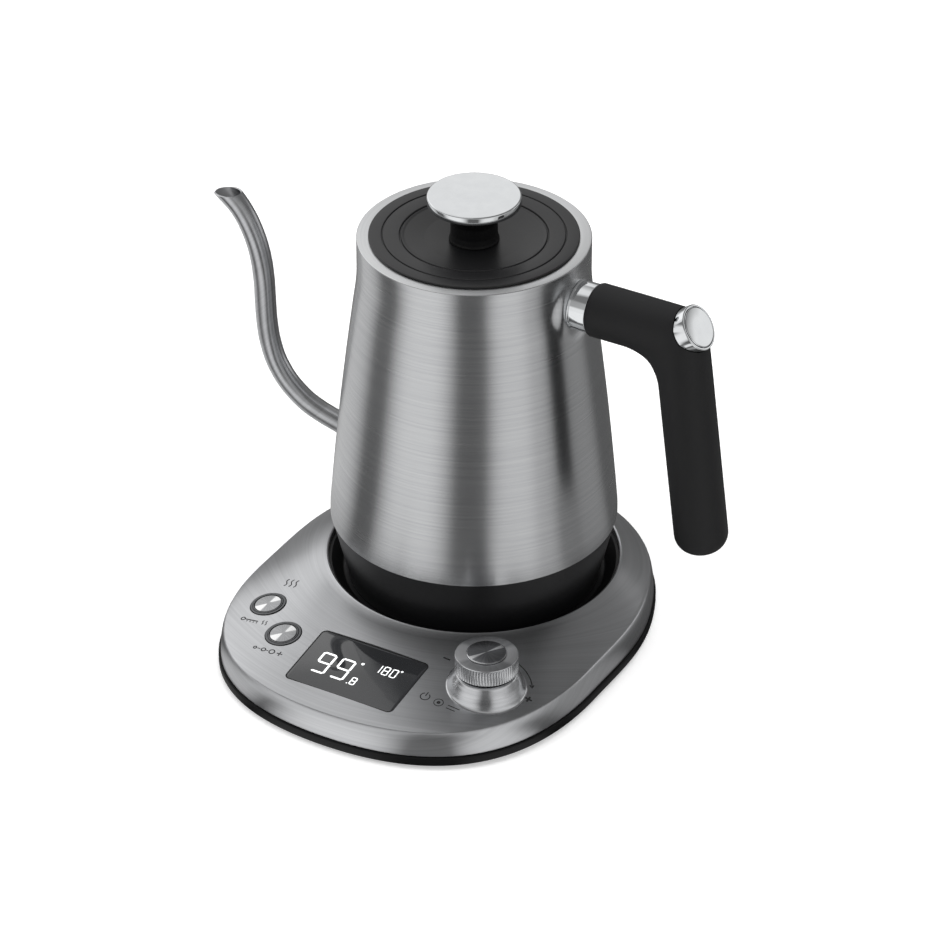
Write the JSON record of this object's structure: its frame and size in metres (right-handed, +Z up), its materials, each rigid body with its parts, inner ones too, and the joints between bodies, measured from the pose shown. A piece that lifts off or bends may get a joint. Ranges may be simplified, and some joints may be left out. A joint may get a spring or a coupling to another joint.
{
  "type": "gooseneck kettle",
  "caption": "Electric gooseneck kettle in brushed steel with a black handle, lifting and turning on a sloped control base with display, buttons and a knob.",
  "frame": {"origin": "centre of the part's outline, on the surface that its feet stand on", "axes": "+X from the spout towards the handle, +Y from the controls towards the back of the base, +Z up"},
  "size_m": [0.2606, 0.2174, 0.2113],
  "materials": {
    "brushed_steel": "satin, brushed",
    "chrome": "polished",
    "plain_steel": "plain",
    "black_plastic": "satin",
    "soft_black": "soft matt",
    "foot_rubber": "matt",
    "silicone": "matt",
    "smoked_window": "gloss, smoked",
    "circuit_board": "lacquered",
    "brass": "plain",
    "aluminium": "turned",
    "relay_blue": "moulded"
  },
  "bodies": {
    "base": {"base_cover": "brushed_steel", "base_tray": "black_plastic", "well_dish": "black_plastic", "power_boss": "black_plastic", "centre_contact": "brass", "ring_contact": "brass", "control_board": "circuit_board", "power_board": "circuit_board", "relay": "relay_blue", "buzzer": "black_plastic", "cord_gland": "foot_rubber", "base_foot_1": "foot_rubber", "base_foot_2": "foot_rubber", "base_foot_3": "foot_rubber", "base_foot_4": "foot_rubber", "case_screw_1": "plain_steel", "case_screw_2": "plain_steel", "case_screw_3": "plain_steel", "case_screw_4": "plain_steel", "display_window": "smoked_window", "display_module": "plain_steel", "button_bezel_rear": "black_plastic", "button_bezel_front": "black_plastic", "button_switch_rear": "black_plastic", "button_switch_front": "black_plastic", "encoder_body": "plain_steel", "encoder_nut": "plain_steel"},
    "button_rear": {"button_cap_rear": "aluminium"},
    "button_front": {"button_cap_front": "aluminium"},
    "encoder_rotor": {"encoder_rotor": "brass"},
    "knob": {"encoder_shaft": "plain_steel", "knob_drum": "aluminium", "knob_insert": "aluminium"},
    "coupler": {"socket_housing": "black_plastic", "socket_pin": "brass", "socket_ring": "brass"},
    "kettle": {"kettle_body": "brushed_steel", "kettle_floor": "plain_steel", "heating_element": "aluminium", "temperature_probe": "plain_steel", "thermal_cutout": "black_plastic", "kettle_skirt": "black_plastic", "bottom_cover": "black_plastic", "bottom_screw_1": "plain_steel", "bottom_screw_2": "plain_steel", "bottom_screw_3": "plain_steel", "spout": "brushed_steel", "handle_ferrule": "chrome", "handle_stud": "plain_steel", "handle_grip": "soft_black", "handle_screw": "plain_steel", "cap_ring": "chrome", "cap_disc": "chrome"},
    "lid": {"lid_cover": "black_plastic", "lid_seal": "silicone", "lid_liner": "plain_steel", "lid_neck": "black_plastic", "lid_knob": "chrome", "lid_screw": "plain_steel"}
  },
  "joints": [
    {"name": "kettle_lift", "type": "slide", "parent": "base", "child": "coupler", "axis": [0, 0, 1], "range_m": [0, 0.1]},
    {"name": "kettle_swivel", "type": "hinge", "parent": "coupler", "child": "kettle", "pos_m": [0.0036, 0.02505, 0.03], "axis": [0, 0, 1], "continuous": true},
    {"name": "lid_lift", "type": "slide", "parent": "kettle", "child": "lid", "axis": [0, 0, 1], "range_m": [0, 0.05]},
    {"name": "knob_turn", "type": "hinge", "parent": "base", "child": "encoder_rotor", "pos_m": [0.0578, -0.05805, 0.03], "axis": [0, 0, 1], "continuous": true},
    {"name": "knob_press", "type": "slide", "parent": "encoder_rotor", "child": "knob", "axis": [0, 0, -1], "range_m": [0, 0.0008], "stiffness_N_per_m": 300, "springref_m": -0.004},
    {"name": "rear_button_press", "type": "slide", "parent": "base", "child": "button_rear", "axis": [0.1456, 0.1064, -0.9836], "range_m": [0, 0.0008], "stiffness_N_per_m": 250, "springref_m": -0.003},
    {"name": "front_button_press", "type": "slide", "parent": "base", "child": "button_front", "axis": [0.0727, 0.1294, -0.9889], "range_m": [0, 0.0008], "stiffness_N_per_m": 250, "springref_m": -0.003}
  ]
}
